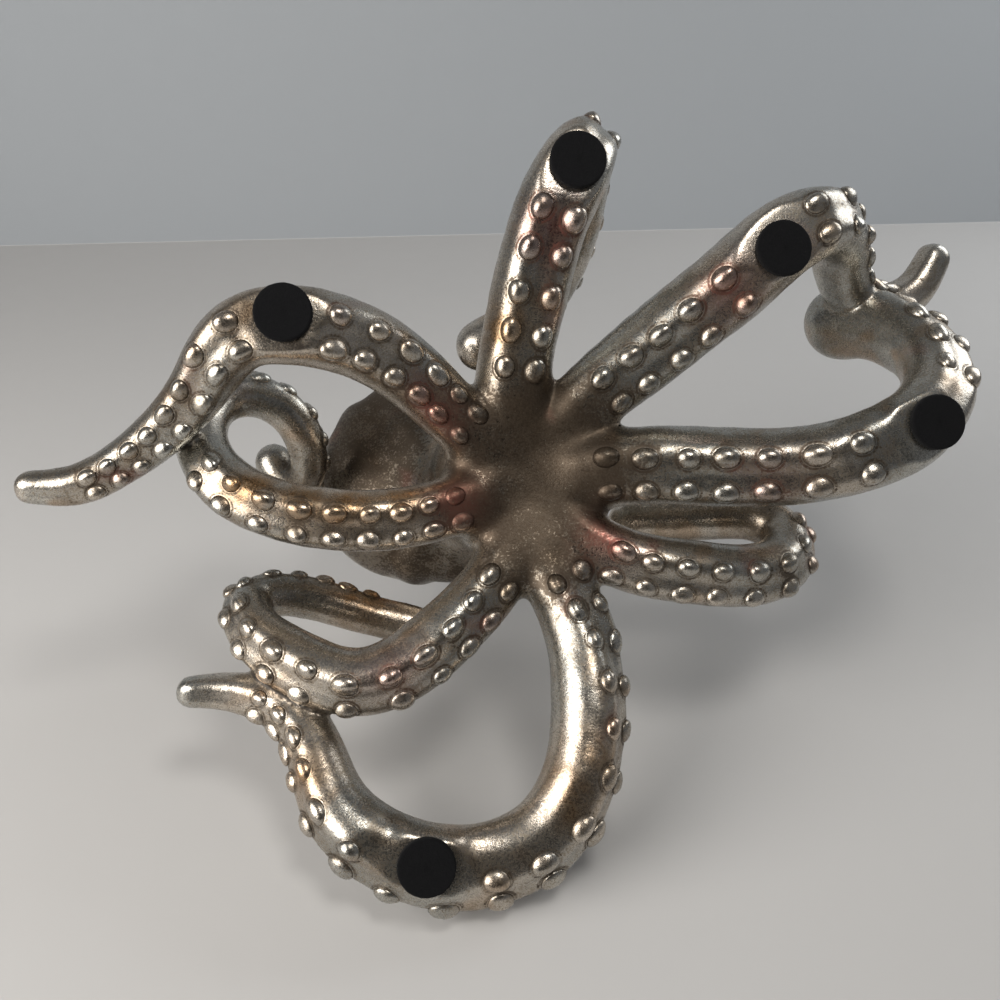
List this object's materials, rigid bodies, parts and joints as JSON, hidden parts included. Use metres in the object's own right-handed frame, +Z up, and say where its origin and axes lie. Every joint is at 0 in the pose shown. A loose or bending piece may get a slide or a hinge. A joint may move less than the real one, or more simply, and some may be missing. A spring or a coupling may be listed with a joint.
{
  "type": "octopus figurine",
  "caption": "Rigid octopus figurine in antiqued silver leaf, with curling suckered arms spread round the hub, standing on felt pads under its arms.",
  "frame": {"origin": "on the resting surface, under the middle of the whole figure", "axes": "+X to the figure's right along its longest extent, +Y to the back, away from the front arm, +Z up from the resting surface"},
  "size_m": [0.366, 0.288, 0.1439],
  "materials": {
    "casting": "antiqued silver leaf over cast resin, with dark brown wash in the crevices",
    "felt": "black felt"
  },
  "bodies": {
    "root": {"body": "casting", "arm_front": "casting", "arm_front_right": "casting", "arm_right": "casting", "arm_back_right": "casting", "arm_back": "casting", "arm_back_left": "casting", "arm_left": "casting", "arm_front_left": "casting", "pad_front": "felt", "pad_front_right": "felt", "pad_right": "felt", "pad_back": "felt", "pad_front_left": "felt"}
  },
  "joints": []
}
